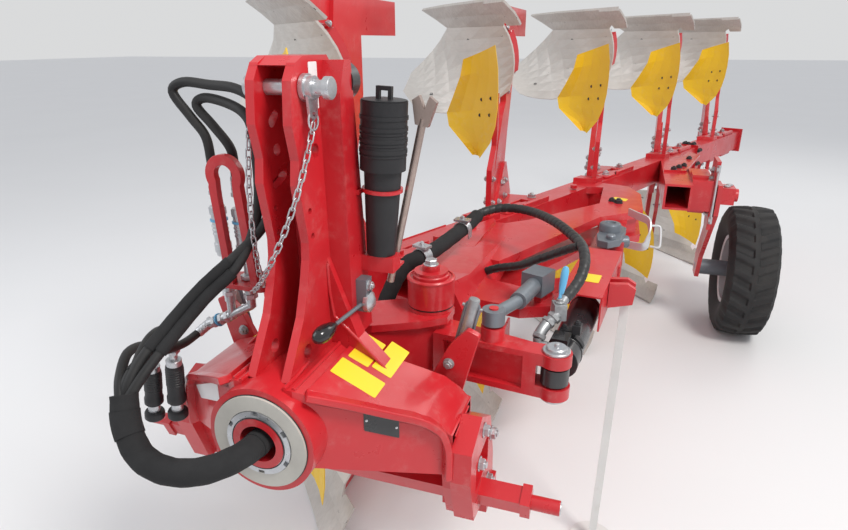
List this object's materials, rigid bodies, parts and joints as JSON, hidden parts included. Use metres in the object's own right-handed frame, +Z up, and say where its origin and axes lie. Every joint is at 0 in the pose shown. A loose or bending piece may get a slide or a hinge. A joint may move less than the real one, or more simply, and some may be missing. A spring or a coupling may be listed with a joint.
{
  "type": "moldboard plough",
  "caption": "Mounted reversible mouldboard plough: turning beam with paired left and right bodies, yellow skimmers, mast headstock, depth wheel and parking stand.",
  "frame": {"origin": "middle of the plough's box in plan, on the ground that its shares, depth wheel and parking stand rest on", "axes": "-Y is the direction of travel, +X is the plough's left, +Z is up; the turnover axis runs along Y"},
  "size_m": [2.4125, 5.1174, 1.8796],
  "materials": {
    "red_paint": "glossy bright red enamel, dusty in the corners",
    "board_steel": "pale clear-lacquered plough steel with shipping film and light scuffs",
    "zinc": "bright zinc plate, slightly dulled",
    "grey_steel": "grey zinc-flake coat",
    "yellow_plastic": "glossy yellow",
    "black_plastic": "ribbed black plastic",
    "black_paint": "satin black enamel",
    "pale_ring": "pale grey bearing plastic",
    "tyre_rubber": "new black rubber with moulded lugs",
    "rim_silver": "silver enamel",
    "white_paint": "white enamel",
    "hose_sleeve": "woven black sleeve",
    "hose_rubber": "smooth black hydraulic hose",
    "copper_steel": "bare forged steel with a warm reflection"
  },
  "bodies": {
    "headstock": {"headstock": "red_paint", "mast": "red_paint", "end_plates": "red_paint", "hitch_shaft": "red_paint", "top_link_pin": "zinc", "hub_ring": "pale_ring", "hose_holder": "red_paint", "document_tube": "black_plastic", "tube_hoops": "red_paint", "wrench": "copper_steel", "mast_lever": "grey_steel", "turn_cylinder_head": "black_paint", "turnover_lock": "red_paint"},
    "tube_lid": {"tube_lid": "black_plastic"},
    "console": {"turnover_shaft": "red_paint", "shaft_nut": "zinc", "console": "red_paint", "barrel_seals": "black_plastic"},
    "adjuster": {"turnbuckle": "grey_steel"},
    "swing_barrel": {"cylinder_barrel": "black_paint"},
    "swing_rod": {"cylinder_rod": "zinc"},
    "beam": {"beam": "red_paint", "front_frame": "red_paint", "inner_arm": "red_paint", "rod_anchor": "red_paint", "cylinder_guard": "red_paint", "beam_extension": "red_paint", "leg_brackets": "red_paint", "legs_lower": "red_paint", "legs_upper": "red_paint", "boards_lower": "board_steel", "boards_upper": "board_steel", "shares_lower": "board_steel", "shares_upper": "board_steel", "landsides_lower": "red_paint", "landsides_upper": "red_paint", "skimmer_stems": "red_paint", "skimmers_lower": "yellow_plastic", "skimmers_upper": "yellow_plastic", "wheel_mount": "red_paint", "stop_plate": "red_paint"},
    "wheel_arm": {"wheel_arm": "red_paint", "wheel_hub": "grey_steel"},
    "wheel": {"rim": "rim_silver", "tyre": "tyre_rubber"},
    "stand": {"stand_leg": "white_paint", "stand_foot": "white_paint"}
  },
  "joints": [
    {"name": "turnover", "type": "hinge", "parent": "headstock", "child": "console", "pos_m": [-0.367, -2.497, 0.94], "axis": [0, -1, 0], "range_deg": [0, 180]},
    {"name": "frame_swing", "type": "hinge", "parent": "console", "child": "beam", "pos_m": [-0.167, -1.997, 0.94], "axis": [0, 0, 1], "range_deg": [0, 12]},
    {"name": "barrel_turn", "type": "hinge", "parent": "console", "child": "swing_barrel", "pos_m": [0.188, -2.077, 0.94], "axis": [0, 0, 1], "range_deg": [-1, 14]},
    {"name": "rod_slide", "type": "slide", "parent": "swing_barrel", "child": "swing_rod", "axis": [0.0995, 0.995, 0], "range_m": [-0.01, 0.1]},
    {"name": "adjuster_turn", "type": "hinge", "parent": "console", "child": "adjuster", "pos_m": [0.021, -2.055, 1.07], "axis": [0, 0, 1], "range_deg": [-1, 16]},
    {"name": "wheel_swing", "type": "hinge", "parent": "beam", "child": "wheel_arm", "pos_m": [0.783, 0.103, 0.94], "axis": [1, 0, 0], "range_deg": [0, 135]},
    {"name": "wheel_spin", "type": "hinge", "parent": "wheel_arm", "child": "wheel", "pos_m": [1.059, 0.453, 0.396], "axis": [1, 0, 0], "continuous": true},
    {"name": "stand_fold", "type": "hinge", "parent": "beam", "child": "stand", "pos_m": [0.348, -1.617, 1], "axis": [0, -1, 0], "range_deg": [0, 90]},
    {"name": "lid_pull", "type": "slide", "parent": "headstock", "child": "tube_lid", "axis": [0.0514, 0, 0.9987], "range_m": [0, 0.2]}
  ],
  "couplings": [
    {"joint": "barrel_turn", "follows": "frame_swing", "ratio": 0.8989},
    {"joint": "rod_slide", "follows": "frame_swing", "m_per_rad": 0.35481},
    {"joint": "adjuster_turn", "follows": "frame_swing", "ratio": 0.9296}
  ]
}
